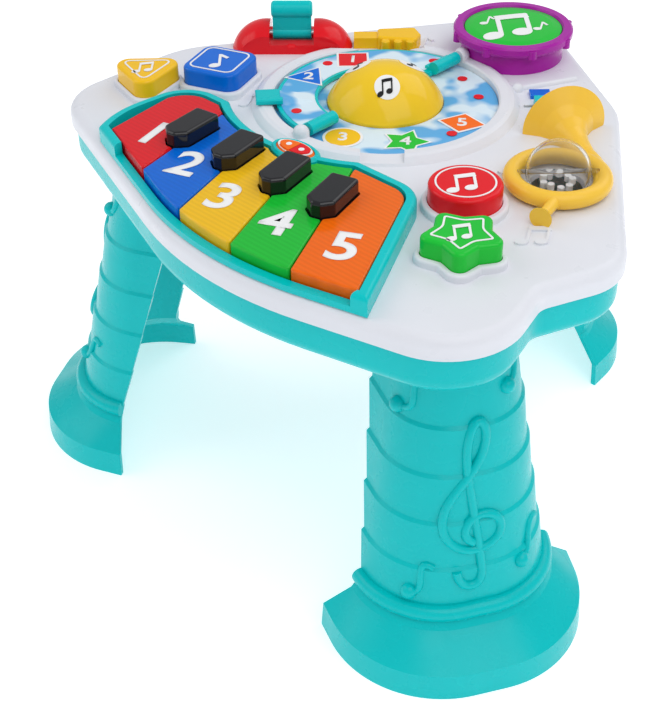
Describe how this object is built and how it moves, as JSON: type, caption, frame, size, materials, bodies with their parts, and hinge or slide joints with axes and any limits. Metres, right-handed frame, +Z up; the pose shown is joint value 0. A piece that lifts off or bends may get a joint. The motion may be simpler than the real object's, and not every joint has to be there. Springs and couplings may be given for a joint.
{
  "type": "musical activity table",
  "caption": "Toddler's round-edged musical activity table on splayed hollow legs, with light-up keys, instrument buttons, a drum, a flipping half-disc page and a bead ball.",
  "frame": {"origin": "floor level, at the middle of the footprint's bounding box", "axes": "+Z up from the floor to the table top, -Y towards the child who plays the keys, +X to that child's right"},
  "size_m": [0.5002, 0.4804, 0.334],
  "materials": {
    "teal_plastic": "satin moulded",
    "white_plastic": "satin moulded",
    "red_plastic": "gloss",
    "red_clear": "translucent gloss",
    "blue_clear": "translucent gloss",
    "yellow_clear": "translucent gloss",
    "green_clear": "translucent gloss",
    "orange_clear": "translucent gloss",
    "black_plastic": "high gloss",
    "yellow_plastic": "gloss",
    "blue_plastic": "gloss",
    "green_plastic": "gloss",
    "purple_plastic": "gloss",
    "orange_plastic": "gloss",
    "horn_yellow": "gloss",
    "clear_plastic": "clear",
    "bead_white": "gloss",
    "print_blue": "printed film",
    "steel": "bright",
    "contact_brass": "bright",
    "board_green": "fibre board",
    "cell_grey": "wrapped cell",
    "speaker_black": "paper cone",
    "pad_rubber": "soft silicone"
  },
  "bodies": {
    "housing": {"base_tub": "teal_plastic", "deck_top": "white_plastic", "leg_left": "teal_plastic", "leg_right": "teal_plastic", "leg_back": "teal_plastic", "battery_door": "teal_plastic", "door_screw": "steel", "housing_screws": "steel", "batteries": "cell_grey", "battery_contacts": "contact_brass", "speaker": "speaker_black", "circuit_board": "board_green", "switch_boards": "board_green", "switch_pads": "pad_rubber", "base_print": "print_blue", "light_dome": "yellow_plastic", "keyboard_frame": "teal_plastic", "key_rod": "steel", "black_keys": "black_plastic", "drum_rim": "purple_plastic", "drum_spring": "steel", "guitar_body": "red_plastic", "guitar_neck": "yellow_plastic", "strum_pin": "steel", "horn": "horn_yellow", "number_badge": "blue_plastic", "page_pin_front": "steel", "page_pin_back": "steel", "ball_axle": "clear_plastic", "latch_spring_left": "steel", "latch_spring_right": "steel", "latch_spring_back": "steel"},
    "key_1": {"key_1": "red_clear"},
    "key_2": {"key_2": "blue_clear"},
    "key_3": {"key_3": "yellow_clear"},
    "key_4": {"key_4": "green_clear"},
    "key_5": {"key_5": "orange_clear"},
    "mode_button": {"mode_button": "orange_plastic"},
    "button_triangle": {"button_triangle": "yellow_plastic"},
    "button_square": {"button_square": "blue_plastic"},
    "button_round": {"button_round": "red_plastic"},
    "button_star": {"button_star": "green_plastic"},
    "drum_head": {"drum_head": "green_plastic"},
    "strum_flap": {"strum_flap": "teal_plastic"},
    "flip_page": {"flip_page": "teal_plastic"},
    "bead_ball": {"bead_ball": "clear_plastic", "beads": "bead_white"},
    "volume_knob": {"volume_knob": "teal_plastic"},
    "latch_left": {"latch_left": "teal_plastic"},
    "latch_right": {"latch_right": "teal_plastic"},
    "latch_back": {"latch_back": "teal_plastic"}
  },
  "joints": [
    {"name": "key_1_press", "type": "hinge", "parent": "housing", "child": "key_1", "pos_m": [0, -0.14879, 0.297], "axis": [1, 0, 0], "range_deg": [0, 2.6], "stiffness_Nm_per_rad": 0.9, "springref_deg": -5.16},
    {"name": "key_2_press", "type": "hinge", "parent": "housing", "child": "key_2", "pos_m": [0, -0.14879, 0.297], "axis": [1, 0, 0], "range_deg": [0, 2.6], "stiffness_Nm_per_rad": 0.9, "springref_deg": -5.16},
    {"name": "key_3_press", "type": "hinge", "parent": "housing", "child": "key_3", "pos_m": [0, -0.14879, 0.297], "axis": [1, 0, 0], "range_deg": [0, 2.6], "stiffness_Nm_per_rad": 0.9, "springref_deg": -5.16},
    {"name": "key_4_press", "type": "hinge", "parent": "housing", "child": "key_4", "pos_m": [0, -0.14879, 0.297], "axis": [1, 0, 0], "range_deg": [0, 2.6], "stiffness_Nm_per_rad": 0.9, "springref_deg": -5.16},
    {"name": "key_5_press", "type": "hinge", "parent": "housing", "child": "key_5", "pos_m": [0, -0.14879, 0.297], "axis": [1, 0, 0], "range_deg": [0, 2.6], "stiffness_Nm_per_rad": 0.9, "springref_deg": -5.16},
    {"name": "mode_button_press", "type": "slide", "parent": "housing", "child": "mode_button", "axis": [0, 0, -1], "range_m": [0, 0.0015], "stiffness_N_per_m": 800, "springref_m": -0.0015},
    {"name": "button_triangle_press", "type": "slide", "parent": "housing", "child": "button_triangle", "axis": [0, 0, -1], "range_m": [0, 0.003], "stiffness_N_per_m": 500, "springref_m": -0.002},
    {"name": "button_square_press", "type": "slide", "parent": "housing", "child": "button_square", "axis": [0, 0, -1], "range_m": [0, 0.003], "stiffness_N_per_m": 500, "springref_m": -0.002},
    {"name": "button_round_press", "type": "slide", "parent": "housing", "child": "button_round", "axis": [0, 0, -1], "range_m": [0, 0.003], "stiffness_N_per_m": 500, "springref_m": -0.002},
    {"name": "button_star_press", "type": "slide", "parent": "housing", "child": "button_star", "axis": [0, 0, -1], "range_m": [0, 0.003], "stiffness_N_per_m": 500, "springref_m": -0.002},
    {"name": "drum_head_press", "type": "slide", "parent": "housing", "child": "drum_head", "axis": [0, 0, -1], "range_m": [0, 0.0025], "stiffness_N_per_m": 800, "springref_m": -0.002, "deforming": ["drum_spring"]},
    {"name": "strum_flap_swing", "type": "hinge", "parent": "housing", "child": "strum_flap", "pos_m": [-0.106, -0.00379, 0.31], "axis": [0.7314, 0.682, 0], "range_deg": [-18, 18], "stiffness_Nm_per_rad": 0.12},
    {"name": "page_flip", "type": "hinge", "parent": "housing", "child": "flip_page", "pos_m": [0.0055, -0.02509, 0.307], "axis": [0, 1, 0], "range_deg": [0, 180]},
    {"name": "ball_spin", "type": "hinge", "parent": "housing", "child": "bead_ball", "pos_m": [0.159, -0.03779, 0.31], "axis": [0.7071, 0.7071, 0], "continuous": true},
    {"name": "volume_slide", "type": "slide", "parent": "housing", "child": "volume_knob", "axis": [0.7193, 0.6947, 0], "range_m": [-0.008, 0.008]},
    {"name": "latch_left_press", "type": "slide", "parent": "housing", "child": "latch_left", "axis": [0.866, 0.5, 0], "range_m": [0, 0.003], "stiffness_N_per_m": 900, "springref_m": -0.002},
    {"name": "latch_right_press", "type": "slide", "parent": "housing", "child": "latch_right", "axis": [-0.866, 0.5, 0], "range_m": [0, 0.003], "stiffness_N_per_m": 900, "springref_m": -0.002},
    {"name": "latch_back_press", "type": "slide", "parent": "housing", "child": "latch_back", "axis": [0, -1, 0], "range_m": [0, 0.003], "stiffness_N_per_m": 900, "springref_m": -0.002}
  ]
}
